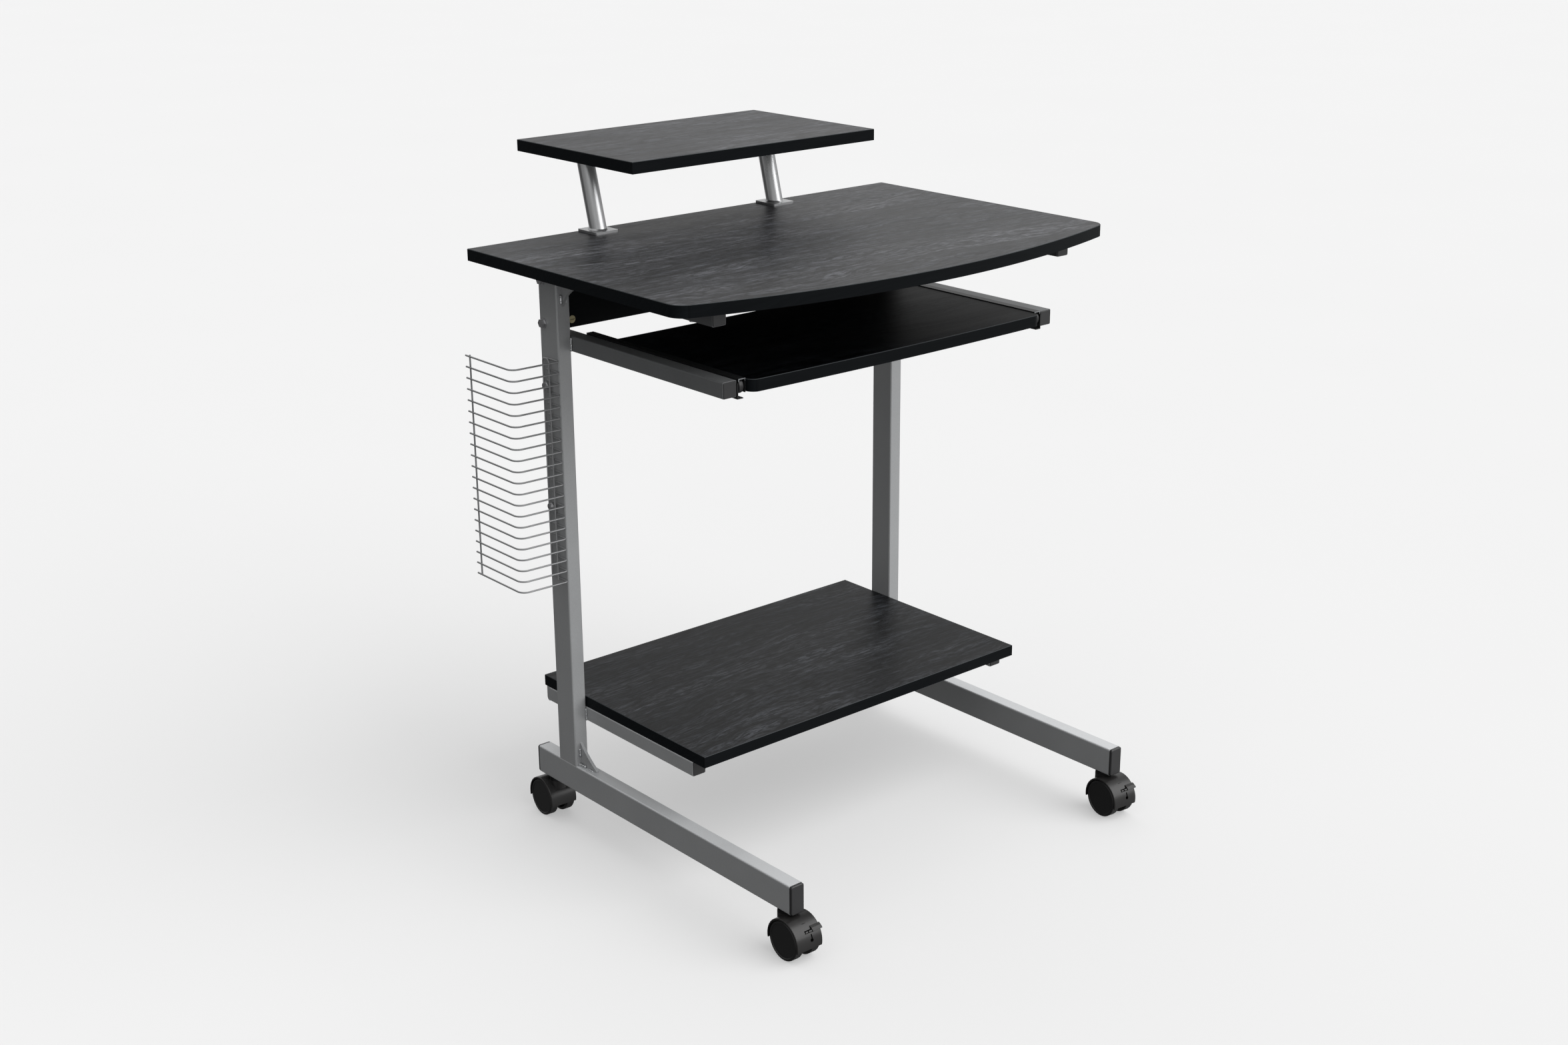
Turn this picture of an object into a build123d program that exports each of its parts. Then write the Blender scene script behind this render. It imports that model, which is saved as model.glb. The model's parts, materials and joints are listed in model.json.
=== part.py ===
"""Mobile computer desk with a low shelf that holds the CPU tower. Units are millimetres, +Z is up.

The floor is z = 0, +Y points to the rear of the desk and +X to the user's right.
The origin is on the floor under the middle of the whole desk.
"""
import os
from math import cos, radians, sin, sqrt

from build123d import *

os.makedirs("parts", exist_ok=True)

# ---- reference lines ----
MID_X = 6.863           # mid-plane between the two posts
REAR_Y = 229.156         # rear edge of the desktop

# ---- boards ----
BOARD = 15.0
DESK_HALF = 350.0
DESK_TOP = 780.0
DESK_SIDE_END = -421.2
DESK_FRONT = -477.0
SHELF_TOP = 887.0      # monitor shelf
TRAY_HALF = 241.0
TRAY_TOP = 676.0
TRAY_REAR = -155.5
TRAY_CORNER = -416.0
TRAY_FRONT = -421.0
CPU_TOP = 191.0
CPU_REAR = -10.0
CPU_FRONT = -355.0

# ---- frame tube ----
WALL = 1.5
POST_IN = 273.0
POST_OUT = 293.0
POST_X = (POST_IN + POST_OUT) / 2
POST_FRONT = -105.3
POST_REAR = -67.3
FOOT_BOTTOM = 57.0
FOOT_TOP = 95.3
FOOT_FRONT = -537.0
FOOT_REAR = -19.5
CAP = 3.8
ARM_IN = POST_IN - 20.0
TOP_ARM_FRONT = -411.0
KEY_ARM_FRONT = -403.0
KEY_ARM_BOTTOM = 656.0
CPU_ARM_FRONT = -331.0
CPU_ARM_REAR = -15.0
CPU_ARM_BOTTOM = CPU_TOP - BOARD - 20.0

# ---- fasteners ----
BOLT_Y = -76.3
BOLT_Z = (690.5, 745.0)
BARREL_X = 255.4
FRAME_SCREW_Y = (-364.0, -150.0)
CPU_SCREW_Y = (-290.0, -45.0)

# ---- monitor stand ----
LEAN = 0.265
STAND_X = (-165.5, 131.0)
STAND_Y = -20.0
PLATE = 3.0
TUBE_R = 11.2

# ---- CD rack ----
RUNG_R = 1.1
WIRE_R = 1.25
RUNG_TOP = 647.0
RUNG_PITCH = 14.5
RUNG_COUNT = 21
RUNG_X = -(POST_OUT + RUNG_R + 0.02)
HAIRPIN_X = RUNG_X - RUNG_R - WIRE_R - 0.02
HAIRPIN_Y = (-88.5, -76.0)
RACK_SCREW_Z = (612.2, 453.6)

# ---- keyboard slides ----
SHEET = 1.2
SLIDE_Z = 653.0
RAIL_REAR = -105.0
RAIL_FRONT = -405.0
ROLLER_IN = 3.1
ROLLER_OUT = 9.5
FRONT_ROLLER = (-396.0, 666.75, 9.0)
REAR_ROLLER = (-115.0, 662.5, 8.2)

# ---- casters ----
WHEEL_R = 25.0
HOOD_R = 28.5
HOOD_SHELL = 2.2
TRAIL = 15.0
STEM_R = 4.0
CASTERS = (
    ("front_left", -POST_X, -520.0, -1.0, True),
    ("front_right", POST_X, -520.0, -5.0, True),
    ("rear_left", -POST_X, -46.5, 177.0, False),
    ("rear_right", POST_X, -46.5, -177.0, False),
)


def at(x, y, z):
    """Point of the desk's own frame, measured from the mid-plane and the rear edge."""
    return (MID_X + x, REAR_Y + y, z)


def block(x0, x1, y0, y1, z0, z1, mode=Mode.ADD):
    """Box between two corners."""
    with Locations(at((x0 + x1) / 2, (y0 + y1) / 2, (z0 + z1) / 2)):
        Box(abs(x1 - x0), abs(y1 - y0), abs(z1 - z0), mode=mode)


def rod_x(x0, x1, y, z, r, mode=Mode.ADD):
    """Cylinder along X."""
    with Locations(Location(at((x0 + x1) / 2, y, z), (0, 90, 0))):
        Cylinder(r, abs(x1 - x0), mode=mode)


def rod_y(x, y0, y1, z, r, mode=Mode.ADD):
    """Cylinder along Y."""
    with Locations(Location(at(x, (y0 + y1) / 2, z), (90, 0, 0))):
        Cylinder(r, abs(y1 - y0), mode=mode)


def rod_z(x, y, z0, z1, r, mode=Mode.ADD):
    """Cylinder along Z."""
    with Locations(at(x, y, (z0 + z1) / 2)):
        Cylinder(r, abs(z1 - z0), mode=mode)


def plane_z(z):
    """Horizontal sketch plane on the mid-plane and the rear edge."""
    return Plane(origin=at(0, 0, z), x_dir=(1, 0, 0), z_dir=(0, 0, 1))


def plane_x(x):
    """Upright sketch plane facing +X: sketch X is desk +Y, sketch Y is up."""
    return Plane(origin=at(x, 0, 0), x_dir=(0, 1, 0), z_dir=(1, 0, 0))


def plane_y(y):
    """Upright sketch plane facing the front: sketch X is desk +X, sketch Y is up."""
    return Plane(origin=at(0, y, 0), x_dir=(1, 0, 0), z_dir=(0, -1, 0))


def tube_y(x0, x1, y0, y1, z0, z1, corner=2.2):
    """Rectangular tube along Y."""
    cx = (x0 + x1) / 2
    cz = (z0 + z1) / 2
    w = abs(x1 - x0)
    h = abs(z1 - z0)
    with BuildSketch(plane_y(y0)) as section:
        with Locations((cx, cz)):
            RectangleRounded(w, h, corner)
            RectangleRounded(w - 2 * WALL, h - 2 * WALL, corner - WALL + 0.3, mode=Mode.SUBTRACT)
    extrude(section.sketch, amount=-(y1 - y0))


def save(built, name):
    """Name the part and write its file."""
    built.part.label = name
    export_step(built.part, "parts/" + name + ".step")


# ================= boards =================
with BuildPart() as desktop:
    with BuildSketch(plane_z(DESK_TOP - BOARD)):
        with BuildLine():
            Polyline((-DESK_HALF, DESK_SIDE_END), (-DESK_HALF, 0), (DESK_HALF, 0), (DESK_HALF, DESK_SIDE_END))
            ThreePointArc((DESK_HALF, DESK_SIDE_END), (0, DESK_FRONT), (-DESK_HALF, DESK_SIDE_END))
        make_face()
    extrude(amount=BOARD)
    fillet(desktop.edges().filter_by(Axis.Z).group_by(Axis.Y)[0], 22)
    chamfer(desktop.edges().group_by(Axis.Z)[-1], 0.6)
    for side in (-1, 1):
        for y in FRAME_SCREW_Y:
            rod_z(side * POST_X, y, DESK_TOP - BOARD, DESK_TOP - 4.5, 2.3, Mode.SUBTRACT)
    for x in STAND_X:
        for turn in (-1, 1):
            rod_z(x + turn * 12, STAND_Y + turn * 13.5, DESK_TOP - BOARD, DESK_TOP, 2.8, Mode.SUBTRACT)
save(desktop, "desktop")

with BuildPart() as monitor_shelf:
    block(-200, 200, -144.5, 105.5, SHELF_TOP - BOARD, SHELF_TOP)
    chamfer(monitor_shelf.edges().group_by(Axis.Z)[-1], 0.6)
    for x in STAND_X:
        for turn in (-1, 1):
            y = STAND_Y + LEAN * (SHELF_TOP - BOARD - DESK_TOP - 2 * PLATE)
            rod_z(x + turn * 12, y + turn * 13.5, SHELF_TOP - BOARD, SHELF_TOP - 4.5, 2.1, Mode.SUBTRACT)
save(monitor_shelf, "monitor_shelf")

with BuildPart() as modesty_panel:
    block(-POST_IN + 0.2, POST_IN - 0.2, -83.8, -68.8, 680.3, DESK_TOP - BOARD)
    for side in (-1, 1):
        for z in BOLT_Z:
            rod_x(side * (POST_IN + 1), side * 245.0, BOLT_Y, z, 3.3, Mode.SUBTRACT)
            rod_y(side * BARREL_X, -84.0, -71.5, z, 5.0, Mode.SUBTRACT)
save(modesty_panel, "modesty_panel")

with BuildPart() as keyboard_tray:
    with BuildSketch(plane_z(TRAY_TOP - BOARD)):
        with BuildLine():
            Polyline(
                (-TRAY_HALF, TRAY_CORNER),
                (-TRAY_HALF, TRAY_REAR),
                (TRAY_HALF, TRAY_REAR),
                (TRAY_HALF, TRAY_CORNER),
            )
            ThreePointArc((TRAY_HALF, TRAY_CORNER), (0, TRAY_FRONT), (-TRAY_HALF, TRAY_CORNER))
        make_face()
    extrude(amount=BOARD)
    fillet(keyboard_tray.edges().filter_by(Axis.Z).group_by(Axis.Y)[0], 12)
    chamfer(keyboard_tray.edges().group_by(Axis.Z)[-1], 0.6)
    for side in (-1, 1):
        for y in (-385.0, -285.0, -180.0):
            rod_z(side * (ARM_IN - 17), y, TRAY_TOP - BOARD, TRAY_TOP - 4.5, 1.7, Mode.SUBTRACT)
save(keyboard_tray, "keyboard_tray")

with BuildPart() as cpu_shelf:
    block(-POST_IN + 0.5, POST_IN - 0.5, CPU_FRONT, CPU_REAR, CPU_TOP - BOARD, CPU_TOP)
    chamfer(cpu_shelf.edges().group_by(Axis.Z)[-1], 0.6)
    for side in (-1, 1):
        for y in CPU_SCREW_Y:
            rod_z(side * (ARM_IN + 10), y, CPU_TOP - BOARD, CPU_TOP - 4.5, 2.3, Mode.SUBTRACT)
save(cpu_shelf, "cpu_shelf")


# ================= welded frame =================
def post_shape(side):
    with BuildSketch(plane_z(FOOT_TOP)) as section:
        with Locations((side * POST_X, (POST_FRONT + POST_REAR) / 2)):
            RectangleRounded(POST_OUT - POST_IN, POST_REAR - POST_FRONT, 2.2)
            RectangleRounded(
                POST_OUT - POST_IN - 2 * WALL, POST_REAR - POST_FRONT - 2 * WALL, 1.0, mode=Mode.SUBTRACT
            )
    extrude(section.sketch, amount=DESK_TOP - BOARD - FOOT_TOP)
    for z in BOLT_Z:
        rod_x(side * (POST_IN - 1), side * (POST_OUT + 1), BOLT_Y, z, 3.3, Mode.SUBTRACT)
    if side < 0:
        for z in RACK_SCREW_Z:
            rod_x(-POST_OUT - 1, -POST_OUT + 2 * WALL, sum(HAIRPIN_Y) / 2, z, 2.1, Mode.SUBTRACT)


with BuildPart() as left_post:
    post_shape(-1)
save(left_post, "left_post")

with BuildPart() as right_post:
    post_shape(1)
save(right_post, "right_post")


def foot_shape(side):
    tube_y(side * POST_IN, side * POST_OUT, FOOT_FRONT, FOOT_REAR, FOOT_BOTTOM, FOOT_TOP)
    for y in (-520.0, -46.5):
        rod_z(side * POST_X, y, FOOT_BOTTOM - 1, FOOT_BOTTOM + 2 * WALL, STEM_R + 1.0, Mode.SUBTRACT)


with BuildPart() as left_foot:
    foot_shape(-1)
save(left_foot, "left_foot")

with BuildPart() as right_foot:
    foot_shape(1)
save(right_foot, "right_foot")


def top_arm_shape(side):
    tube_y(side * POST_IN, side * POST_OUT, TOP_ARM_FRONT, POST_FRONT, DESK_TOP - BOARD - 20, DESK_TOP - BOARD, 1.8)
    for y in FRAME_SCREW_Y:
        rod_z(side * POST_X, y, DESK_TOP - BOARD - 21, DESK_TOP - BOARD + 1, 2.7, Mode.SUBTRACT)


with BuildPart() as left_top_arm:
    top_arm_shape(-1)
save(left_top_arm, "left_top_arm")

with BuildPart() as right_top_arm:
    top_arm_shape(1)
save(right_top_arm, "right_top_arm")


def keyboard_arm_shape(side):
    tube_y(side * ARM_IN, side * POST_IN, KEY_ARM_FRONT, POST_REAR - 1, KEY_ARM_BOTTOM, KEY_ARM_BOTTOM + 20, 1.8)
    for y in (-350.0, -200.0):
        rod_x(side * (ARM_IN - 1), side * (ARM_IN + 2 * WALL), y, 662.5, 1.8, Mode.SUBTRACT)


with BuildPart() as left_keyboard_arm:
    keyboard_arm_shape(-1)
save(left_keyboard_arm, "left_keyboard_arm")

with BuildPart() as right_keyboard_arm:
    keyboard_arm_shape(1)
save(right_keyboard_arm, "right_keyboard_arm")


def cpu_arm_shape(side):
    x = side * (ARM_IN + 10)
    tube_y(side * ARM_IN, side * POST_IN, CPU_ARM_FRONT, CPU_ARM_REAR - 5, CPU_ARM_BOTTOM, CPU_ARM_BOTTOM + 20, 1.8)
    with BuildSketch(plane_x(x - 10)) as closed_end:
        with BuildLine():
            Polyline(
                (CPU_ARM_REAR - 5, CPU_ARM_BOTTOM),
                (CPU_ARM_REAR - 5, CPU_ARM_BOTTOM + 20),
                (CPU_ARM_REAR, CPU_ARM_BOTTOM + 20),
                (CPU_ARM_REAR, CPU_ARM_BOTTOM + 5),
            )
            ThreePointArc(
                (CPU_ARM_REAR, CPU_ARM_BOTTOM + 5),
                (CPU_ARM_REAR - 1.46, CPU_ARM_BOTTOM + 1.46),
                (CPU_ARM_REAR - 5, CPU_ARM_BOTTOM),
            )
        make_face()
    extrude(closed_end.sketch, amount=20)
    for y in CPU_SCREW_Y:
        rod_z(x, y, CPU_ARM_BOTTOM - 1, CPU_ARM_BOTTOM + 21, 2.7, Mode.SUBTRACT)


with BuildPart() as left_shelf_arm:
    cpu_arm_shape(-1)
save(left_shelf_arm, "left_shelf_arm")

with BuildPart() as right_shelf_arm:
    cpu_arm_shape(1)
save(right_shelf_arm, "right_shelf_arm")

with BuildPart() as gussets:
    for side in (-1, 1):
        with BuildSketch(plane_x(side * POST_X - 2)):
            with BuildLine():
                Polyline((POST_FRONT, 714.5), (POST_FRONT, 745.0), (-136.5, 745.0), (-136.5, 741.2))
                ThreePointArc((-136.5, 741.2), (-117.0, 731.0), (POST_FRONT, 714.5))
            make_face()
            with BuildLine():
                Polyline((POST_FRONT, 127.5), (POST_FRONT, FOOT_TOP), (-140.0, FOOT_TOP), (-140.0, FOOT_TOP + 2.2))
                ThreePointArc((-140.0, FOOT_TOP + 2.2), (-121.8, 110.6), (POST_FRONT, 127.5))
            make_face()
        extrude(amount=4)
save(gussets, "gussets")


def bead(plane, u, v, du, dv, depth):
    """Fillet weld: a three-cornered run laid in the corner (u, v) of two faces."""
    with BuildSketch(plane) as section:
        with BuildLine():
            Polyline((u + du, v), (u, v), (u, v + dv))
            ThreePointArc((u, v + dv), (u + 0.62 * du, v + 0.62 * dv), (u + du, v))
        make_face()
    extrude(section.sketch, amount=depth)


with BuildPart() as weld_beads:
    for side in (-1, 1):
        inner = side * POST_IN
        # foot to post: one run behind the post, short runs beside the gusset
        bead(plane_x(side * POST_X - 7), POST_REAR, FOOT_TOP, 3.2, 3.2, 14)
        for x in (-7.6, 2.6):
            bead(plane_x(side * POST_X + x), POST_FRONT, FOOT_TOP, -3.0, 3.0, 5)
            bead(plane_x(side * POST_X + x), POST_FRONT, 745.0, -3.0, -3.0, 5)
        # gusset edges to the arm, the foot and the post
        for x, du in ((2.0, 2.2), (-2.0, -2.2)):
            gx = side * POST_X + x
            bead(plane_y(-131.0), gx, 745.0, du, -2.2, -8)
            bead(plane_y(-134.0), gx, FOOT_TOP, du, 2.2, -9)
            bead(plane_z(108.5), gx, POST_FRONT, du, -2.2, 10)
            bead(plane_z(719.5), gx, POST_FRONT, du, -2.2, 9)
        # keyboard arm and shelf arm to the post
        bead(plane_z(657.5), inner, POST_FRONT, side * 3.6, -3.6, 16)
        bead(plane_z(CPU_ARM_BOTTOM + 1.5), inner, POST_FRONT, side * 3.6, -3.6, 15)
        bead(plane_z(CPU_ARM_BOTTOM + 1.5), inner, POST_REAR, side * 3.6, 3.6, 15)
save(weld_beads, "weld_beads")

# ================= end caps =================
with BuildPart() as foot_end_caps:
    for side in (-1, 1):
        cz = (FOOT_BOTTOM + FOOT_TOP) / 2
        h = FOOT_TOP - FOOT_BOTTOM
        for y, out in ((FOOT_FRONT, 1), (FOOT_REAR, -1)):
            with BuildSketch(plane_y(y)):
                with Locations((side * POST_X, cz)):
                    RectangleRounded(POST_OUT - POST_IN, h, 3.0)
            cap_face = extrude(amount=out * CAP)
            far = cap_face.faces().sort_by(Axis.Y)[0 if out > 0 else -1]
            fillet(far.edges(), 1.6)
            with BuildSketch(plane_y(y)):
                with Locations((side * POST_X, cz)):
                    RectangleRounded(POST_OUT - POST_IN - 2 * WALL - 0.2, h - 2 * WALL - 0.2, 1.2)
                    Rectangle(POST_OUT - POST_IN - 4 * WALL, h - 4 * WALL, mode=Mode.SUBTRACT)
            extrude(amount=-out * 8)
save(foot_end_caps, "foot_end_caps")


def plug(x, y, z, inward):
    """Square end plug: a bevelled head on the cut end of a 20 mm tube, and a sleeve inside it."""
    size = 20 - 2 * WALL - 0.16
    for depth, width in ((0.0, 18.7), (0.5, 18.7)):
        with BuildSketch(plane_y(y - depth * inward)) as face:
            with Locations((x, z)):
                RectangleRounded(width, width, 1.4)
        if depth == 0.0:
            extrude(face.sketch, amount=0.5 * inward)
        else:
            with BuildSketch(plane_y(y - 1.1 * inward)) as bevelled:
                with Locations((x, z)):
                    RectangleRounded(width - 1.2, width - 1.2, 0.8)
            loft([face.sketch, bevelled.sketch], ruled=True)
    with BuildSketch(plane_y(y)) as sleeve:
        with Locations((x, z)):
            RectangleRounded(size, size, 1.0)
            Rectangle(size - 3.0, size - 3.0, mode=Mode.SUBTRACT)
    extrude(sleeve.sketch, amount=-10.0 * inward)


with BuildPart() as arm_end_caps:
    for side in (-1, 1):
        plug(side * POST_X, TOP_ARM_FRONT, DESK_TOP - BOARD - 10, 1)
        plug(side * (ARM_IN + 10), KEY_ARM_FRONT, KEY_ARM_BOTTOM + 10, 1)
        plug(side * (ARM_IN + 10), POST_REAR - 1, KEY_ARM_BOTTOM + 10, -1)
        plug(side * (ARM_IN + 10), CPU_ARM_FRONT, CPU_ARM_BOTTOM + 10, 1)
save(arm_end_caps, "arm_end_caps")

# ================= frame fasteners =================
with BuildPart() as panel_bolts:
    for side in (-1, 1):
        for z in BOLT_Z:
            rod_x(side * POST_OUT, side * (POST_OUT + 1.4), BOLT_Y, z, 6.4)
            with BuildSketch(plane_x(side * (POST_OUT + 1.4))):
                with Locations((BOLT_Y, z)):
                    RegularPolygon(5.6, 6)
            extrude(amount=side * 3.8)
            rod_x(side * POST_OUT, side * 247.0, BOLT_Y, z, 3.0)
save(panel_bolts, "panel_bolts")

with BuildPart() as barrel_nuts:
    for side in (-1, 1):
        for z in BOLT_Z:
            rod_y(side * BARREL_X, -83.9, -71.7, z, 4.9)
            rod_x(side * (BARREL_X - 6), side * (BARREL_X + 6), BOLT_Y, z, 3.05, Mode.SUBTRACT)
            block(side * BARREL_X - 3.6, side * BARREL_X + 3.6, -84.0, -82.9, z - 0.6, z + 0.6, Mode.SUBTRACT)
save(barrel_nuts, "barrel_nuts")


def pan_screw(x, y, z, length, head=4.4, shank=2.2, height=2.8):
    """Pan-head screw driven upwards, its head under z, with a cross recess."""
    rod_z(x, y, z - height, z, head)
    rod_z(x, y, z, z + length, shank)
    block(x - 2.2, x + 2.2, y - 0.45, y + 0.45, z - height, z - height + 1.3, Mode.SUBTRACT)
    block(x - 0.45, x + 0.45, y - 2.2, y + 2.2, z - height, z - height + 1.3, Mode.SUBTRACT)


with BuildPart() as frame_screws:
    for side in (-1, 1):
        for y in FRAME_SCREW_Y:
            pan_screw(side * POST_X, y, DESK_TOP - BOARD - 20, 29.5)
        for y in CPU_SCREW_Y:
            pan_screw(side * (ARM_IN + 10), y, CPU_ARM_BOTTOM, 29.5)
save(frame_screws, "frame_screws")


# ================= monitor stand =================
STAND_BOTTOM = DESK_TOP + PLATE
STAND_TOP = SHELF_TOP - BOARD - PLATE
TOP_Y = STAND_Y + LEAN * (STAND_TOP - STAND_BOTTOM)


def stand_tube(x):
    axis = Plane(
        origin=at(x, STAND_Y - LEAN * 10, STAND_BOTTOM - 10), x_dir=(1, 0, 0), z_dir=(0, LEAN, 1)
    )
    run = (STAND_TOP - STAND_BOTTOM + 20) * sqrt(1 + LEAN * LEAN)
    with BuildSketch(axis) as outside:
        Circle(TUBE_R)
    extrude(outside.sketch, amount=run)
    with BuildSketch(plane_z(STAND_BOTTOM)) as weld:
        with Locations((x, STAND_Y + 0.6)):
            Circle(TUBE_R + 1.8)
    extrude(weld.sketch, amount=2.0, taper=40)
    with BuildSketch(axis) as bore:
        Circle(TUBE_R - WALL)
    extrude(bore.sketch, amount=run, mode=Mode.SUBTRACT)
    block(x - 40, x + 40, STAND_Y - 60, STAND_Y + 80, STAND_BOTTOM - 40, STAND_BOTTOM, Mode.SUBTRACT)
    block(x - 40, x + 40, STAND_Y - 60, STAND_Y + 80, STAND_TOP, STAND_TOP + 40, Mode.SUBTRACT)


with BuildPart() as left_monitor_tube:
    stand_tube(STAND_X[0])
save(left_monitor_tube, "left_monitor_tube")

with BuildPart() as right_monitor_tube:
    stand_tube(STAND_X[1])
save(right_monitor_tube, "right_monitor_tube")

with BuildPart() as monitor_post_plates:
    for x in STAND_X:
        for y, z in ((STAND_Y, DESK_TOP), (TOP_Y, STAND_TOP)):
            with BuildSketch(plane_z(z)):
                with Locations((x, y)):
                    RectangleRounded(36, 40, 2.0)
            extrude(amount=PLATE)
        for turn in (-1, 1):
            rod_z(x + turn * 12, STAND_Y + turn * 13.5, DESK_TOP, DESK_TOP + 2.3, 2.5, Mode.SUBTRACT)
            rod_z(x + turn * 12, TOP_Y + turn * 13.5, STAND_TOP, STAND_TOP + PLATE, 2.4, Mode.SUBTRACT)
save(monitor_post_plates, "monitor_post_plates")

with BuildPart() as monitor_post_bolts:
    for x in STAND_X:
        for turn in (-1, 1):
            pan_screw(x + turn * 12, STAND_Y + turn * 13.5, DESK_TOP - BOARD, BOARD + 2.1, 4.8, 2.45, 3.0)
save(monitor_post_bolts, "monitor_post_bolts")

with BuildPart() as panhead_screws:
    for x in STAND_X:
        for turn in (-1, 1):
            pan_screw(x + turn * 12, TOP_Y + turn * 13.5, STAND_TOP, 13.0, 4.0, 2.0, 2.4)
    for side in (-1, 1):
        for y in (-350.0, -200.0):
            rod_x(side * (ARM_IN - SHEET - 0.6), side * (ARM_IN - SHEET), y, 662.5, 3.6)
            rod_x(side * (ARM_IN - SHEET), side * (ARM_IN + 5), y, 662.5, 1.7)
save(panhead_screws, "panhead_screws")


# ================= CD rack =================
def wire(points, radii, z, r):
    """Round wire bent in a horizontal plane, with one bend radius per corner."""
    with BuildLine(plane_z(z)) as path:
        line = Polyline(*points)
        for corner, bend in zip(points[1:-1], radii):
            near = path.vertices().sort_by_distance(at(corner[0], corner[1], z))[0]
            fillet(near, bend)
    start = at(points[0][0], points[0][1], z)
    nxt = at(points[1][0], points[1][1], z)
    with BuildSketch(Plane(origin=start, z_dir=Vector(*nxt) - Vector(*start))) as section:
        Circle(r)
    sweep(section.sketch, path=path.wires()[0])


with BuildPart() as rung:
    wire(((RUNG_X, -80.0), (RUNG_X, -107.3), (-362.7, -105.4), (-362.0, -2.0)), (4.0, 11.0), 0, RUNG_R)

with BuildPart() as cd_rack_rungs:
    for k in range(RUNG_COUNT):
        with Locations((0, 0, RUNG_TOP - RUNG_PITCH * k)):
            add(rung.part)
save(cd_rack_rungs, "cd_rack_rungs")

with BuildPart() as cd_rack_hairpin:
    front, back = HAIRPIN_Y
    with BuildLine(plane_x(HAIRPIN_X)) as bent:
        Polyline((front, 355.5), (front, 647.0), (back, 647.0), (back, 355.5))
        fillet(bent.vertices().group_by(Axis.Z)[-1], 4.5)
    with BuildSketch(plane_z(355.5)) as section:
        with Locations((HAIRPIN_X, front)):
            Circle(WIRE_R)
    sweep(section.sketch, path=bent.wires()[0])
save(cd_rack_hairpin, "cd_rack_hairpin")

with BuildPart() as cd_rack_end_wire:
    rod_z(-362.0 + RUNG_R + WIRE_R - 0.08, -8.0, 355.8, 648.2, WIRE_R - 0.12)
save(cd_rack_end_wire, "cd_rack_end_wire")

with BuildPart() as cd_rack_screws:
    for z in RACK_SCREW_Z:
        y = sum(HAIRPIN_Y) / 2
        x = HAIRPIN_X - WIRE_R - 0.02
        rod_x(x, x - 0.9, y, z, 5.4)
        rod_x(x - 0.9, x - 3.4, y, z, 4.1)
        rod_x(x, -POST_OUT + 8, y, z, 2.0)
        block(x - 3.4, x - 2.2, y - 2.2, y + 2.2, z - 0.45, z + 0.45, Mode.SUBTRACT)
        block(x - 3.4, x - 2.2, y - 0.45, y + 0.45, z - 2.2, z + 2.2, Mode.SUBTRACT)
save(cd_rack_screws, "cd_rack_screws")


# ================= keyboard slides =================
def rail_box(side, u0, u1, y0, y1, z0, z1, mode=Mode.ADD):
    """Box measured from the inner face of the keyboard arm (u) inwards."""
    block(side * (ARM_IN - u0), side * (ARM_IN - u1), y0, y1, z0, z1, mode)


def rail_rod(side, u0, u1, y, z, r, mode=Mode.ADD):
    rod_x(side * (ARM_IN - u0), side * (ARM_IN - u1), y, z, r, mode)


def outer_rail_shape(side):
    rail_box(side, 0, SHEET, RAIL_FRONT, RAIL_REAR, SLIDE_Z, SLIDE_Z + 19)
    rail_box(side, 0, 8.5, RAIL_FRONT, RAIL_REAR, SLIDE_Z, SLIDE_Z + SHEET)
    rail_box(side, 0, 8.5, -384.0, RAIL_REAR, SLIDE_Z + 19 - SHEET, SLIDE_Z + 19)
    for y in (-350.0, -200.0):
        rail_rod(side, -1, SHEET + 1, y, 662.5, 1.8, Mode.SUBTRACT)
    y, z, r = FRONT_ROLLER
    rail_rod(side, SHEET, ROLLER_IN - 0.1, y, z, 4.0)
    rail_rod(side, SHEET, ROLLER_OUT + 0.15, y, z, 2.5)


def inner_rail_shape(side):
    rail_box(side, 12 - SHEET, 12, RAIL_FRONT, RAIL_REAR - 3, 659.8, 677.0)
    rail_box(side, 1.6, 12, RAIL_FRONT, RAIL_REAR - 3, 675.8, 677.0)
    rail_box(side, 1.6, 2.7, RAIL_FRONT, RAIL_REAR - 3, 672.8, 677.0)
    rail_box(side, 11.9, 22, RAIL_FRONT + 4, RAIL_REAR - 3, 659.8, 661.0)
    for y in (-385.0, -285.0, -180.0):
        rod_z(side * (ARM_IN - 17), y, 659.0, 662.0, 1.8, Mode.SUBTRACT)
    y, z, r = REAR_ROLLER
    rail_rod(side, 12 - SHEET, ROLLER_OUT + 0.1, y, z, 4.0)
    rail_rod(side, 12 - SHEET, ROLLER_IN - 0.15, y, z, 2.5)


def roller_shape(side, roller):
    y, z, r = roller
    rail_rod(side, ROLLER_IN, ROLLER_OUT, y, z, r)
    rail_rod(side, ROLLER_IN - 1, ROLLER_OUT + 1, y, z, 2.55, Mode.SUBTRACT)
    chamfer(
        [e for e in edges_of(side) if abs(e.radius - r) < 0.01],
        0.6,
    )


def edges_of(side):
    """Circular edges of the part being built."""
    return BuildPart._get_context().edges().filter_by(GeomType.CIRCLE)


with BuildPart() as left_outer_rail:
    outer_rail_shape(-1)
save(left_outer_rail, "left_outer_rail")

with BuildPart() as right_outer_rail:
    outer_rail_shape(1)
save(right_outer_rail, "right_outer_rail")

with BuildPart() as left_inner_rail:
    inner_rail_shape(-1)
save(left_inner_rail, "left_inner_rail")

with BuildPart() as right_inner_rail:
    inner_rail_shape(1)
save(right_inner_rail, "right_inner_rail")

with BuildPart() as left_front_roller:
    roller_shape(-1, FRONT_ROLLER)
save(left_front_roller, "left_front_roller")

with BuildPart() as right_front_roller:
    roller_shape(1, FRONT_ROLLER)
save(right_front_roller, "right_front_roller")

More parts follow.
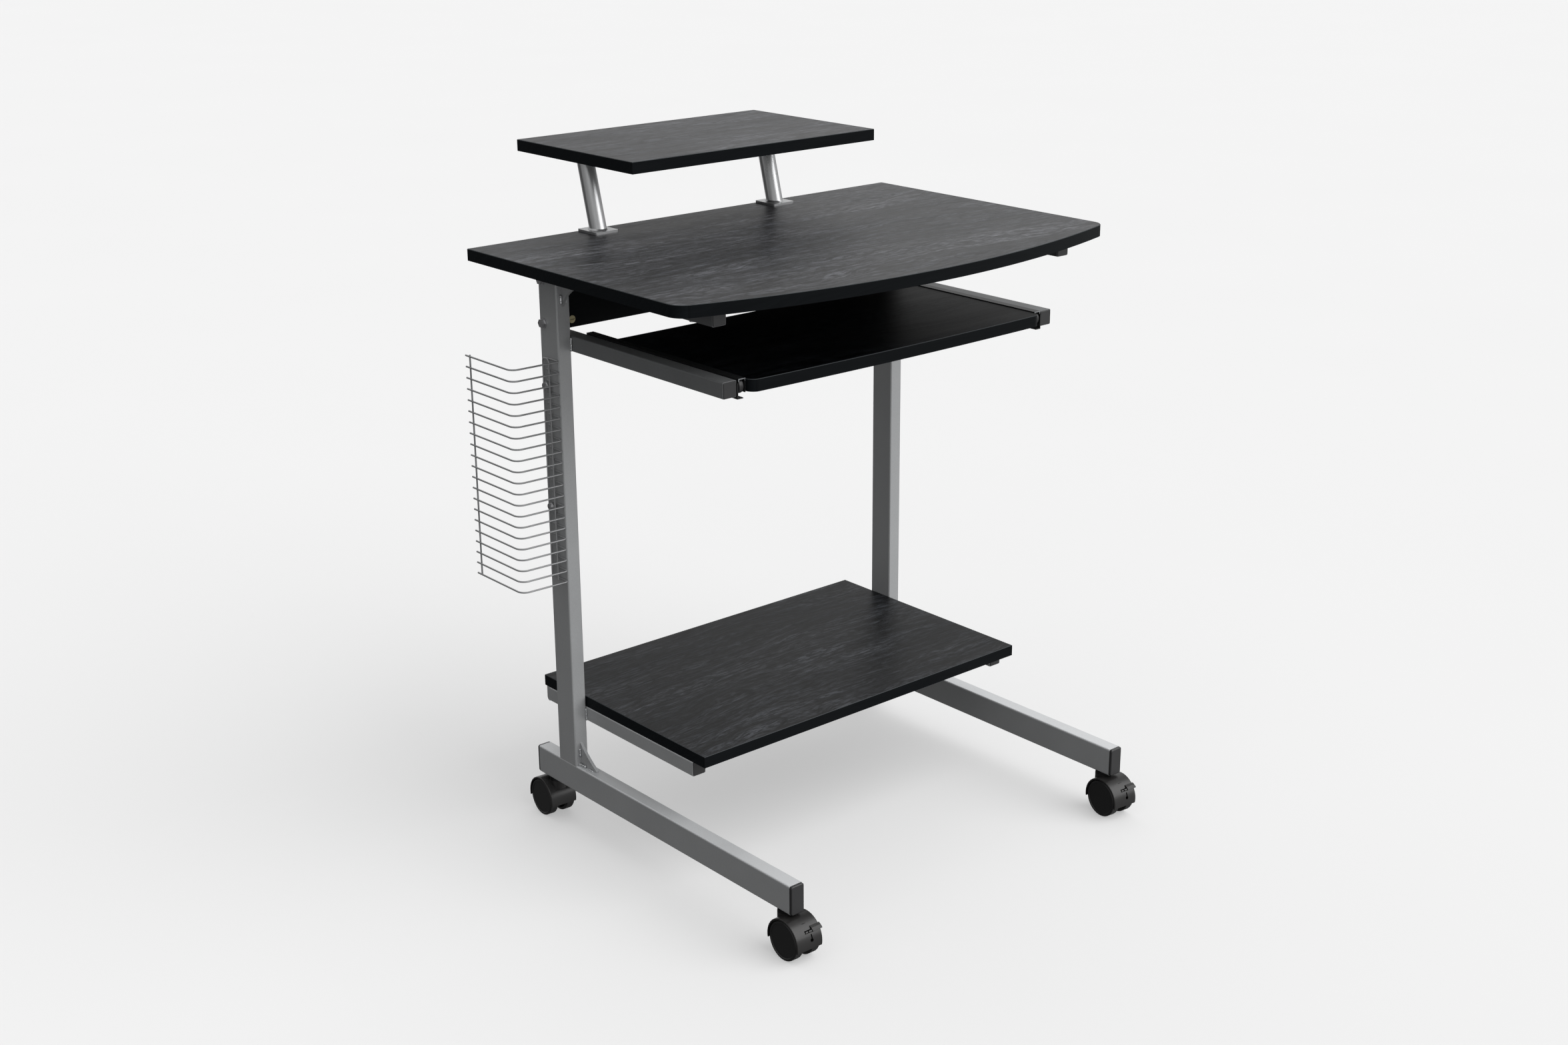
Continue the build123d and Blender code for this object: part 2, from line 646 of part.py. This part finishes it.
with BuildPart() as left_rear_roller:
    roller_shape(-1, REAR_ROLLER)
save(left_rear_roller, "left_rear_roller")

with BuildPart() as right_rear_roller:
    roller_shape(1, REAR_ROLLER)
save(right_rear_roller, "right_rear_roller")

with BuildPart() as tray_screws:
    for side in (-1, 1):
        for y in (-385.0, -285.0, -180.0):
            pan_screw(side * (ARM_IN - 17), y, 659.8, 11.0, 3.4, 1.6, 1.9)
save(tray_screws, "tray_screws")

# ================= casters =================
# Local frame of a caster: stem on Z at the origin, wheels trailing towards -Y.


LEVER_ANGLE = 34.0
HOOD_HALF = 19.5
LEVER_PIN_R = HOOD_R - HOOD_SHELL / 2


def ring_place(x, r, deg):
    """Location on the front of the hood: r from the axle, deg above the level."""
    y = -TRAIL - r * cos(radians(deg))
    z = WHEEL_R + r * sin(radians(deg))
    return Location((x, y, z), (-deg, 0, 0))


def hood_proto(lever):
    start = -10.0
    inner = HOOD_R - HOOD_SHELL
    axle = Axis((0, -TRAIL, WHEEL_R), (1, 0, 0))
    slope = radians(start)
    with BuildSketch(Plane(origin=(0, -TRAIL, WHEEL_R), x_dir=(1, 0, 0), z_dir=(0, -sin(slope), cos(slope)))) as rim:
        with Locations((0, inner + HOOD_SHELL / 2)):
            Rectangle(2 * HOOD_HALF, HOOD_SHELL)
        fillet(rim.vertices().group_by(Axis.Y)[-1], 1.2)
    revolve(rim.sketch, axis=axle, revolution_arc=201.0)
    # stem boss above the wheels
    with Locations((0, 0, 48.0)):
        Cylinder(11.2, 11.8)
    for side in (-1, 1):
        with Locations(Location((side * 13.5, -TRAIL, WHEEL_R), (0, 90, 0))):
            Cylinder(inner, 16.0, mode=Mode.SUBTRACT)
    # web and stem housing between the two wheels
    with Locations(Location((0, -TRAIL, WHEEL_R), (0, 90, 0))):
        Cylinder(13.0, 5.2)
    with Locations((0, -TRAIL + 2, WHEEL_R + 12)):
        Box(5.2, 36.0, 24.0)
    with Locations((0, 0, 41.0)):
        Cylinder(5.4, 25.0)
    with Locations((0, 0, 42.0)):
        Cylinder(STEM_R + 0.05, 30.0, mode=Mode.SUBTRACT)
    with Locations(Location((0, -TRAIL, WHEEL_R), (0, 90, 0))):
        Cylinder(3.0, 40.0, mode=Mode.SUBTRACT)
    if lever:
        # mouth of the brake lever, its pin holes and the keyhole below it
        with Locations(ring_place(1.5, 27.5, LEVER_ANGLE + 0.5)):
            Box(11.5, 6.0, 3.8, mode=Mode.SUBTRACT)
        with Locations(ring_place(1.5, LEVER_PIN_R, LEVER_ANGLE) * Location((0, 0, 0), (0, 90, 0))):
            Cylinder(0.8, 17.6, mode=Mode.SUBTRACT)
        with Locations(ring_place(4.0, 27.5, 19.5)):
            Box(1.7, 6.0, 7.0, mode=Mode.SUBTRACT)
        with Locations(ring_place(3.5, 27.5, 12.0) * Location((0, 0, 0), (90, 0, 0))):
            Cylinder(2.3, 6.0, mode=Mode.SUBTRACT)


def wheel_proto():
    """One wheel about the axle, outer face towards +X."""
    profile = Plane(origin=(0, -TRAIL, WHEEL_R), x_dir=(1, 0, 0), z_dir=(0, -1, 0))
    with BuildSketch(profile) as half:
        with BuildLine():
            Polyline(
                (5.6, 3.05),
                (5.6, 6.5),
                (15.0, 6.5),
                (15.0, 20.5),
                (7.0, 21.5),
                (7.0, 23.8),
            )
            ThreePointArc((7.0, 23.8), (7.35, 24.65), (8.2, WHEEL_R))
            Line((8.2, WHEEL_R), (17.3, WHEEL_R))
            ThreePointArc((17.3, WHEEL_R), (18.5, 24.5), (19.0, 23.3))
            Polyline(
                (19.0, 23.3),
                (19.0, 21.9),
                (18.3, 21.3),
                (18.3, 0.0),
                (15.8, 0.0),
                (15.8, 3.05),
                (5.6, 3.05),
            )
        make_face()
    revolve(half.sketch, axis=Axis((0, -TRAIL, WHEEL_R), (1, 0, 0)))


with BuildPart() as hood_braked:
    hood_proto(True)

with BuildPart() as hood_plain:
    hood_proto(False)

with BuildPart() as wheel_right:
    wheel_proto()

with BuildPart() as wheel_left:
    add(wheel_right.part.mirror(Plane.YZ))

with BuildPart() as axle_proto:
    with Locations(Location((0, -TRAIL, WHEEL_R), (0, 90, 0))):
        Cylinder(3.0, 31.2)

# brake lever: a finger in the hood's mouth, its pin, and the tab beside the mouth
with BuildPart() as lever_proto:
    with Locations(ring_place(1.5, 27.3, LEVER_ANGLE)):
        Box(9.0, 3.6, 1.8)
    with Locations(ring_place(1.5, LEVER_PIN_R, LEVER_ANGLE) * Location((0, 0, 0), (0, 90, 0))):
        Cylinder(0.75, 17.0)
    with Locations(ring_place(4.25, 29.6, LEVER_ANGLE)):
        Box(6.5, 1.6, 1.8)
    ledge = ((29.2, 30.5), (28.85, 36.0), (28.85, 46.0), (29.35, 46.0), (30.6, 39.5), (31.6, 33.5), (31.5, 31.2))
    with BuildSketch(Plane(origin=(6.0, 0, 0), x_dir=(0, 1, 0), z_dir=(1, 0, 0))) as profile:
        with BuildLine():
            corners = [(-TRAIL - r * cos(radians(a)), WHEEL_R + r * sin(radians(a))) for r, a in ledge]
            Polyline(*corners, close=True)
        make_face()
    extrude(profile.sketch, amount=14.3)

with BuildPart() as stem_proto:
    with Locations((0, 0, 58.5)):
        Cylinder(STEM_R, 59.0 - 2 * 0.5)
    with Locations((0, 0, (54.0 + FOOT_BOTTOM) / 2)):
        Cylinder(11.0, FOOT_BOTTOM - 54.0)

PLACES = {}
for name, x, y, turn, braked in CASTERS:
    PLACES[name] = Location(at(x, y, 0), (0, 0, turn))


def place(proto, name):
    with Locations(PLACES[name]):
        add(proto.part)


for name, x, y, turn, braked in CASTERS:
    with BuildPart() as hood:
        place(hood_braked if braked else hood_plain, name)
    save(hood, name + "_caster_hood")
    with BuildPart() as axle:
        place(axle_proto, name)
    save(axle, name + "_caster_axle")
    for hand, proto in (("left", wheel_left), ("right", wheel_right)):
        with BuildPart() as wheel:
            place(proto, name)
        save(wheel, name + "_wheel_" + hand)
    if braked:
        with BuildPart() as lever:
            place(lever_proto, name)
        save(lever, name + "_brake_lever")

with BuildPart() as caster_stems:
    for name in PLACES:
        place(stem_proto, name)
save(caster_stems, "caster_stems")
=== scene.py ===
import json
import math
import random

import bmesh
import bpy
from mathutils import Matrix, Quaternion, Vector


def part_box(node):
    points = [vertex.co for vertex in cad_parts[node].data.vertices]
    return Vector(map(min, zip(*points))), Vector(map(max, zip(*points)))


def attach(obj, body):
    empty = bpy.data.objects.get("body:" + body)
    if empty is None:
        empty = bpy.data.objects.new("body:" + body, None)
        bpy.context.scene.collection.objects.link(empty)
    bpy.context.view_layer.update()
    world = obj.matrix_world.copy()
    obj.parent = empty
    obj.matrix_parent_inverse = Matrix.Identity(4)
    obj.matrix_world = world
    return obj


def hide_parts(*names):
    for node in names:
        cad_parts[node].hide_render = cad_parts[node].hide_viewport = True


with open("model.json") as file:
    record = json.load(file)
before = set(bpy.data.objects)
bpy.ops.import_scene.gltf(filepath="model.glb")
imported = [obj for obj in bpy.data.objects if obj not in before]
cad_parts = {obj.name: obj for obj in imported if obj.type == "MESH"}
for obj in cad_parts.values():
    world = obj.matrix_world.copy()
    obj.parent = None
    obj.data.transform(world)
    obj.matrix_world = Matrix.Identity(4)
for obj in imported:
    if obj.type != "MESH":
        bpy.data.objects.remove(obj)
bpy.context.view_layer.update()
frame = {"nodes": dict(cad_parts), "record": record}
NODES = frame["nodes"]

# the desk's own axes: mid-plane of the posts, rear edge of the desktop
MID_X = (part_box("left_post")[0].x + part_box("right_post")[1].x) / 2
REAR_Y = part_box("desktop")[1].y


def at(x, y, z):
    """Metres in the row frame from millimetres in the desk's own axes."""
    return Vector((MID_X + x / 1000, REAR_Y + y / 1000, z / 1000))


# ---------------------------------------------------------------- materials
class Mat:
    """A procedural material around one Principled shader."""

    def __init__(self, name, rough=0.5, metal=0.0, spec=0.5):
        self.m = bpy.data.materials.new(name)
        self.m.use_nodes = True
        self.tree = self.m.node_tree
        self.bsdf = self.tree.nodes["Principled BSDF"]
        self.set(Roughness=rough, Metallic=metal)
        self.bsdf.inputs["Specular IOR Level"].default_value = spec
        self.coord = self.node("ShaderNodeTexCoord").outputs["Object"]
        self.heights = []

    def node(self, kind, ins=None, **attrs):
        made = self.tree.nodes.new(kind)
        for key, value in attrs.items():
            setattr(made, key, value)
        for key, value in (ins or {}).items():
            self.put(made.inputs[key], value)
        return made

    def put(self, socket, value):
        if isinstance(value, bpy.types.NodeSocket):
            self.tree.links.new(value, socket)
        else:
            socket.default_value = value

    def set(self, **ins):
        for key, value in ins.items():
            self.put(self.bsdf.inputs[key.replace("_", " ")], value)

    def stretch(self, scale, move=(0, 0, 0)):
        ins = {"Vector": self.coord, "Scale": scale, "Location": move}
        return self.node("ShaderNodeMapping", ins).outputs[0]

    def noise(self, scale, detail=4.0, rough=0.55, vec=None):
        ins = {"Vector": vec or self.coord, "Scale": scale, "Detail": detail, "Roughness": rough}
        return self.node("ShaderNodeTexNoise", ins).outputs["Fac"]

    def ramp(self, fac, stops):
        """Colour or grey level by (place, value) stops."""
        made = self.node("ShaderNodeValToRGB", {"Fac": fac})
        band = made.color_ramp
        while len(band.elements) < len(stops):
            band.elements.new(0.5)
        for element, (place, colour) in zip(band.elements, stops):
            element.position = place
            grey = isinstance(colour, (int, float))
            element.color = (colour, colour, colour, 1) if grey else (*colour, 1)
        return made.outputs["Color"]

    def mix(self, fac, a, b, blend="MIX"):
        made = self.node("ShaderNodeMix", data_type="RGBA", blend_type=blend)
        self.put(made.inputs[0], fac)
        for index, value in ((6, a), (7, b)):
            if isinstance(value, (int, float)):
                value = (value, value, value, 1)
            elif isinstance(value, tuple) and len(value) == 3:
                value = (*value, 1)
            self.put(made.inputs[index], value)
        return made.outputs[2]

    def math(self, op, a, b=0.5):
        made = self.node("ShaderNodeMath", operation=op)
        self.put(made.inputs[0], a)
        self.put(made.inputs[1], b)
        return made.outputs[0]

    def normal_part(self, axis):
        """One component of the face normal, in the row frame."""
        geo = self.node("ShaderNodeNewGeometry").outputs["True Normal"]
        return self.node("ShaderNodeSeparateXYZ", {"Vector": geo}).outputs[axis]

    def bump(self, height, strength, distance):
        """Adds a bump layer on top of the earlier ones; distance in metres."""
        ins = {"Height": height, "Strength": strength, "Distance": distance}
        if self.heights:
            ins["Normal"] = self.heights[-1]
        self.heights.append(self.node("ShaderNodeBump", ins).outputs[0])
        self.put(self.bsdf.inputs["Normal"], self.heights[-1])

    def span(self, fac, low, high):
        """Maps 0..1 to low..high."""
        made = self.node("ShaderNodeMapRange", {"Value": fac, "To Min": low, "To Max": high})
        return made.outputs[0]


def laminate(name, tone, gloss):
    """Black-ash laminate: wavy growth lines, streaks and short pores along X, near-black edge band.

    tone scales the colour of the flat faces, and gloss is their specular level.
    """
    m = Mat(name, rough=0.42, spec=0.3)
    parts = m.node("ShaderNodeSeparateXYZ", {"Vector": m.coord}).outputs
    wave = m.math("MULTIPLY", m.noise(2.2, 3.0, 0.5, m.stretch((1.0, 3.4, 3.4))), 0.10)
    ripple = m.math("MULTIPLY", m.noise(9.0, 3.0, 0.6, m.stretch((1.0, 3.0, 3.0), move=(3, 1, 2))), 0.016)
    across = m.math("ADD", m.math("ADD", parts[1], parts[2]), m.math("ADD", wave, ripple))

    def grain(along, over, detail, rough, seed):
        x = m.math("MULTIPLY", parts[0], along)
        y = m.math("MULTIPLY", across, over)
        place = m.node("ShaderNodeCombineXYZ", {"X": x, "Y": y, "Z": seed})
        return m.noise(1.0, detail, rough, place.outputs[0])

    patch = grain(3.0, 13.0, 3.0, 0.5, 1.3)
    field = grain(1.7, 8.5, 2.0, 0.45, 2.6)
    ragged = m.math("MULTIPLY", grain(14.0, 120.0, 2.0, 0.5, 5.5), 0.9)
    growth = m.math("PINGPONG", m.math("ADD", m.math("MULTIPLY", field, 17.0), ragged), 0.5)
    rings = grain(3.4, 95.0, 3.0, 0.6, 4.1)
    streak = grain(12.0, 210.0, 3.0, 0.7, 7.7)
    fleck = grain(55.0, 330.0, 2.0, 0.6, 6.3)
    pores = grain(75.0, 700.0, 2.0, 0.6, 9.2)
    dark, middle, light = (0.0205, 0.0218, 0.0238), (0.0320, 0.0332, 0.0355), (0.0520, 0.0530, 0.0555)
    wood = m.ramp(patch, [(0.40, dark), (0.50, middle), (0.61, light)])
    layers = [
        (0.75, growth, [(0.02, 0.22), (0.08, 0.90), (0.42, 1.12), (0.50, 1.30)]),
        (0.85, rings, [(0.41, 0.46), (0.50, 1.0), (0.60, 1.45)]),
        (0.90, streak, [(0.41, 0.42), (0.50, 1.0), (0.60, 1.50)]),
        (0.90, fleck, [(0.41, 0.30), (0.49, 1.0), (0.62, 1.22)]),
        (0.90, pores, [(0.42, 0.30), (0.50, 1.0), (0.60, 1.25)]),
    ]
    for share, pattern, stops in layers:
        wood = m.mix(share, wood, m.ramp(pattern, stops), "MULTIPLY")
    wood = m.mix(1.0, wood, tone, "MULTIPLY")
    up = m.normal_part("Z")
    flat = m.math("GREATER_THAN", m.math("ABSOLUTE", up), 0.9)
    front = m.math("GREATER_THAN", m.math("ABSOLUTE", m.normal_part("Y")), 0.9)
    arris = m.math("MULTIPLY", m.math("GREATER_THAN", up, 0.3), m.math("LESS_THAN", up, 0.9))
    band = m.mix(streak, (0.0020, 0.0027, 0.0033), (0.0052, 0.0062, 0.0072))
    # painted light: the edge faces that do not point along Y, the board ends, are made 1.5 times lighter than
    # the front and back edges
    band = m.mix(front, m.mix(1.0, band, 1.5, "MULTIPLY"), band)
    colour = m.mix(flat, band, wood)
    # painted highlight: the sloped arris faces along the top edges get a lighter grey than the edge band
    colour = m.mix(arris, colour, (0.045, 0.049, 0.052))
    m.set(Base_Color=colour, Roughness=m.span(rings, 0.36, 0.50))
    m.put(m.bsdf.inputs["Specular IOR Level"], m.span(flat, 0.05, gloss))
    m.bump(rings, 0.12, 0.0006)
    m.bump(streak, 0.25, 0.0004)
    m.bump(pores, 0.25, 0.0003)
    return m


def coat(name, low, high, rough, metal, peel=0.10, painted_top_light=1.0):
    """Powder coat: slight cloudy tone, fine orange peel; the last argument lightens what faces up, as painted
    light from above.
    """
    m = Mat(name, rough=rough, metal=metal)
    cloud = m.noise(14.0, 5.0, 0.6)
    grain = m.noise(900.0, 2.0, 0.6)
    colour = m.mix(cloud, low, high)
    colour = m.mix(0.25, colour, m.ramp(grain, [(0.35, 0.72), (0.65, 1.0)]), "MULTIPLY")
    # painted light: faces that point up are made lighter, as if lit from above
    if painted_top_light > 1.0:
        up = m.span(m.math("MAXIMUM", m.normal_part("Z"), 0.0), 0.0, 1.0)
        colour = m.mix(up, colour, m.mix(1.0, colour, painted_top_light, "MULTIPLY"))
    m.set(Base_Color=colour, Roughness=m.span(cloud, rough - 0.05, rough + 0.07))
    m.bump(m.noise(420.0, 3.0, 0.5), peel, 0.0002)
    m.bump(m.noise(26.0, 2.0), 0.05, 0.0008)
    return m


def plastic(name, low, high, rough, spec=0.5, grain=0.12):
    """Moulded black plastic: fine spark-eroded grain with worn, slightly shinier patches."""
    m = Mat(name, rough=rough, spec=spec)
    patch = m.noise(30.0, 4.0, 0.6)
    m.set(Base_Color=m.mix(patch, low, high), Roughness=m.span(patch, rough - 0.06, rough + 0.08))
    m.bump(m.noise(1500.0, 2.0, 0.6), grain, 0.00012)
    return m


def metal(name, low, high, rough, scratch=0.15, spin=False):
    """Bare or plated metal with fine tool marks."""
    m = Mat(name, rough=rough, metal=1.0)
    tone = m.noise(60.0, 4.0, 0.6)
    marks = m.noise(5.0, 4.0, 0.7, m.stretch((60.0, 60.0, 900.0) if spin else (900.0, 40.0, 900.0)))
    m.set(Base_Color=m.mix(tone, low, high), Roughness=m.span(marks, rough - 0.08, rough + 0.12))
    m.bump(marks, scratch, 0.0001)
    return m


RAIL_LIP_Z = 0.6735


def rail():
    """Black slide coat; the front face of the top lip is light bare steel, partly the bare cut and partly a
    painted highlight where the lip catches the light.
    """
    m = Mat("black_rail_coat", rough=0.42, spec=0.35)
    high = m.node("ShaderNodeSeparateXYZ", {"Vector": m.coord}).outputs[2]
    front = m.math("LESS_THAN", m.normal_part("Y"), -0.9)
    # bare cut and painted highlight: only the front faces above the lip height get the light steel
    bare_cut_and_highlight = m.math("MULTIPLY", m.math("GREATER_THAN", high, RAIL_LIP_Z), front)
    tone = m.mix(m.noise(60.0, 3.0), (0.007, 0.0075, 0.008), (0.013, 0.0135, 0.014))
    m.set(Base_Color=m.mix(bare_cut_and_highlight, tone, (0.30, 0.31, 0.32)), Metallic=m.math("MULTIPLY", bare_cut_and_highlight, 0.9))
    m.bump(m.noise(700.0, 2.0), 0.08, 0.0002)
    return m


MATS = {
    "laminate": laminate("black_ash_laminate", (0.86, 0.87, 0.92), 0.20),
    # painted light: the frame coat's upward faces are lightened 1.5 times
    "frame_paint": coat("silver_grey_powder_coat", (0.350, 0.357, 0.363), (0.405, 0.412, 0.418),
                        0.40, 0.30, painted_top_light=1.5),
    "silver_paint": coat("satin_silver_paint", (0.42, 0.425, 0.43), (0.52, 0.525, 0.53), 0.27, 0.85, 0.05),
    "weld_metal": metal("weld_silver", (0.40, 0.41, 0.42), (0.78, 0.79, 0.80), 0.28, 0.3),
    "black_plastic": plastic("black_cap_plastic", (0.012, 0.012, 0.013), (0.022, 0.022, 0.023), 0.38),
    "caster_plastic": plastic("caster_hood_plastic", (0.0085, 0.0081, 0.0079), (0.014, 0.0134, 0.0130),
                              0.32, 0.40, 0.08),
    "wheel_plastic": plastic("caster_wheel_plastic", (0.0045, 0.0045, 0.0046), (0.008, 0.008, 0.0084),
                             0.36, 0.5, 0.08),
    "nylon": plastic("black_nylon", (0.010, 0.010, 0.011), (0.018, 0.018, 0.019), 0.45),
    "zinc_steel": metal("zinc_plate", (0.50, 0.50, 0.51), (0.72, 0.72, 0.73), 0.30),
    "stem_steel": metal("black_zinc", (0.020, 0.020, 0.021), (0.040, 0.040, 0.041), 0.42),
    "brass_nut": metal("dull_brass", (0.30, 0.27, 0.16), (0.44, 0.39, 0.24), 0.36, 0.2, True),
    "wire_grey": coat("grey_wire_coat", (0.27, 0.275, 0.28), (0.37, 0.375, 0.38), 0.32, 0.5, 0.06),
    "rail_black": rail(),
}
# painted shade: the keyboard tray and CPU shelf get darker copies of the laminate, and the arms under the
# desktop darker copies of the frame coat, for the shade under the desktop
tray_painted_shade_laminate = laminate("ash_laminate_deep_painted_shade", (0.12, 0.13, 0.145), 0.03)
shelf_painted_shade_laminate = laminate("ash_laminate_painted_shade", (0.34, 0.355, 0.385), 0.10)
top_arm_painted_shade_coat = coat("grey_coat_deep_painted_shade", (0.110, 0.114, 0.117), (0.135, 0.139, 0.143), 0.45, 0.25)
keyboard_arm_painted_shade_coat = coat("grey_coat_painted_shade", (0.155, 0.160, 0.163), (0.185, 0.190, 0.194), 0.43, 0.28)
PAINTED_SHADE_COPIES = {"keyboard_tray": tray_painted_shade_laminate, "cpu_shelf": shelf_painted_shade_laminate}
for side in ("left", "right"):
    PAINTED_SHADE_COPIES[side + "_top_arm"] = top_arm_painted_shade_coat
    PAINTED_SHADE_COPIES[side + "_keyboard_arm"] = keyboard_arm_painted_shade_coat
SLOT_OF = {row["node"]: row["material_slot"] for row in frame["record"]["subparts"]}
for name, obj in NODES.items():
    obj.data.materials.clear()
    obj.data.materials.append(PAINTED_SHADE_COPIES.get(name, MATS[SLOT_OF[name]]).m)

# ---------------------------------------------------------------- weld runs
def object_from(bm, name, material, body):
    """Turns a bmesh into a smooth piece of the desk that rides on a body."""
    mesh = bpy.data.meshes.new(name)
    bm.to_mesh(mesh)
    bm.free()
    for face in mesh.polygons:
        face.use_smooth = True
    obj = bpy.data.objects.new(name, mesh)
    bpy.context.scene.collection.objects.link(obj)
    mesh.materials.append(MATS[material].m)
    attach(obj, body)
    return obj


def weld_run(bm, start, end, size, draw):
    """A row of overlapping, uneven drops from start to end, in desk millimetres."""
    start, end = at(*start), at(*end)
    size /= 1000
    count = max(2, int((end - start).length / (size * 0.75)) + 1)
    for i in range(count):
        place = start.lerp(end, i / (count - 1))
        place += Vector([draw.uniform(-0.18, 0.18) * size for _ in range(3)])
        radii = [size * draw.uniform(0.78, 1.12) for _ in range(3)]
        angle = draw.uniform(0, math.pi)
        axis = Vector((draw.random(), draw.random(), 0.5)).normalized()
        turn = Matrix.Rotation(angle, 4, axis)
        shape = Matrix.Translation(place) @ turn @ Matrix.Diagonal((*radii, 1))
        bmesh.ops.create_icosphere(bm, subdivisions=2, radius=1.0, matrix=shape)


POST_X = 283.0
INNER_X = 273.0
POST_FRONT = -105.3
POST_REAR = -67.3
FOOT_TOP = 95.3
ARM_UNDER = 745.0
draw = random.Random(7)
welds = bmesh.new()
for side in (-1, 1):
    for edge in (-1, 1):
        x = side * POST_X + edge * 3.4
        weld_run(welds, (x, POST_FRONT - 1.0, 109), (x, POST_FRONT - 1.0, 117.5), 1.9, draw)
        foot_start = (x + edge * 1.2, POST_FRONT - 1.2, FOOT_TOP + 1.6)
        weld_run(welds, foot_start, (x, -117, FOOT_TOP + 1.4), 2.1, draw)
        weld_run(welds, (x, -127.0, FOOT_TOP + 0.8), (x, -133.5, FOOT_TOP + 0.8), 1.8, draw)
        weld_run(welds, (x, POST_FRONT - 0.8, 720), (x, POST_FRONT - 0.8, 728), 1.7, draw)
        arm_start = (x, POST_FRONT - 1.0, ARM_UNDER - 1.2)
        weld_run(welds, arm_start, (x, -112, ARM_UNDER - 1.2), 1.8, draw)
        weld_run(welds, (x, -123, ARM_UNDER - 0.8), (x, -130, ARM_UNDER - 0.8), 1.6, draw)
    rear_ends = [(side * (POST_X + half), POST_REAR + 0.8, FOOT_TOP + 0.8) for half in (-6.5, 6.5)]
    weld_run(welds, *rear_ends, 1.7, draw)
    corner = side * (INNER_X + 0.9)
    for z0, z1 in ((658.0, 673.0), (158.0, 172.5)):
        weld_run(welds, (corner, POST_FRONT - 0.9, z0), (corner, POST_FRONT - 0.9, z1), 1.6, draw)
    weld_run(welds, (corner, POST_REAR + 0.9, 158.0), (corner, POST_REAR + 0.9, 172.5), 1.6, draw)
weld_runs = object_from(welds, "weld_runs", "weld_metal", "frame")
melt = weld_runs.modifiers.new("melt", "REMESH")
melt.mode = "VOXEL"
melt.voxel_size = 0.00045
melt.use_smooth_shade = True
soften = weld_runs.modifiers.new("soften", "SMOOTH")
soften.factor = 0.6
soften.iterations = 3
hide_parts("weld_beads")

# ---------------------------------------------------------------- camera
AZIMUTH = -40.464
ELEVATION = 19.039
ROLL = -0.408
DISTANCE = 2.7704
TARGET = at(-9.67, -200.0, 395.7)
LENS_MM = 48.0

az = math.radians(AZIMUTH)
el = math.radians(ELEVATION)
away = Vector((math.sin(az) * math.cos(el), -math.cos(az) * math.cos(el), math.sin(el)))
camera_data = bpy.data.cameras.new("camera")
camera = bpy.data.objects.new("camera", camera_data)
bpy.context.scene.collection.objects.link(camera)
camera_data.sensor_width = 36.0
camera_data.lens = LENS_MM
camera_data.clip_end = 200.0
camera.location = TARGET + away * DISTANCE
camera.rotation_mode = "QUATERNION"
camera.rotation_quaternion = away.to_track_quat("Z", "Y") @ Quaternion((0, 0, 1), math.radians(ROLL))
bpy.context.scene.camera = camera

# ---------------------------------------------------------------- floor and light
# the floor is seen, but it neither lights the desk from below nor shows in its gloss
floor_mesh = bpy.data.meshes.new("floor")
floor = bpy.data.objects.new("floor", floor_mesh)
bpy.context.scene.collection.objects.link(floor)
HALF_FLOOR = 40.0
corners = [(-1, -1), (1, -1), (1, 1), (-1, 1)]
floor_mesh.from_pydata([(x * HALF_FLOOR, y * HALF_FLOOR, 0) for x, y in corners], [], [(0, 1, 2, 3)])
pale = Mat("pale_floor", rough=0.9, spec=0.1)
pale.set(Base_Color=pale.mix(pale.noise(1.5, 2.0), (0.395, 0.395, 0.395), (0.405, 0.405, 0.405)))
pale.set(Emission_Color=(1, 1, 1, 1), Emission_Strength=0.36)
floor_mesh.materials.append(pale.m)
floor.visible_diffuse = False
floor.visible_glossy = False

# the room: bright in front on the right, dim to the left and below the horizon
world = bpy.data.worlds.new("studio")
world.use_nodes = True
bpy.context.scene.world = world
tree = world.node_tree
sky = tree.nodes["Background"]
sky.inputs["Color"].default_value = (1.0, 1.0, 1.0, 1)
room = tree.nodes.new("ShaderNodeTexCoord").outputs["Generated"]
lean = tree.nodes.new("ShaderNodeVectorMath")
lean.operation = "DOT_PRODUCT"
tree.links.new(room, lean.inputs[0])
lean.inputs[1].default_value = (0.50, -0.55, 0.67)
glow = tree.nodes.new("ShaderNodeMapRange")
glow.interpolation_type = "SMOOTHSTEP"
tree.links.new(lean.outputs["Value"], glow.inputs["Value"])
for key, value in {"From Min": -0.6, "From Max": 0.9, "To Min": 0.10, "To Max": 0.75}.items():
    glow.inputs[key].default_value = value
tree.links.new(glow.outputs[0], sky.inputs["Strength"])


def sun(name, energy, place, width):
    """A distant lamp that shines from place to the middle of the desk; width in degrees sets its softness."""
    data = bpy.data.lights.new(name, "SUN")
    data.energy = energy
    data.angle = math.radians(width)
    obj = bpy.data.objects.new(name, data)
    obj.location = place
    obj.rotation_mode = "QUATERNION"
    obj.rotation_quaternion = (Vector(place) - MIDDLE).to_track_quat("Z", "Y")
    bpy.context.scene.collection.objects.link(obj)


MIDDLE = Vector((0, 0, 0.4))
sun("key", 2.6, (1.7, -3.0, 3.3), 62)
sun("top", 0.35, (-0.6, 0.8, 4.0), 80)
sun("left", 0.42, (-3.0, -0.6, 1.1), 85)
sun("back", 0.7, (0.9, 2.4, 1.5), 90)

bpy.context.scene.view_settings.view_transform = "Standard"
bpy.context.scene.view_settings.look = "None"
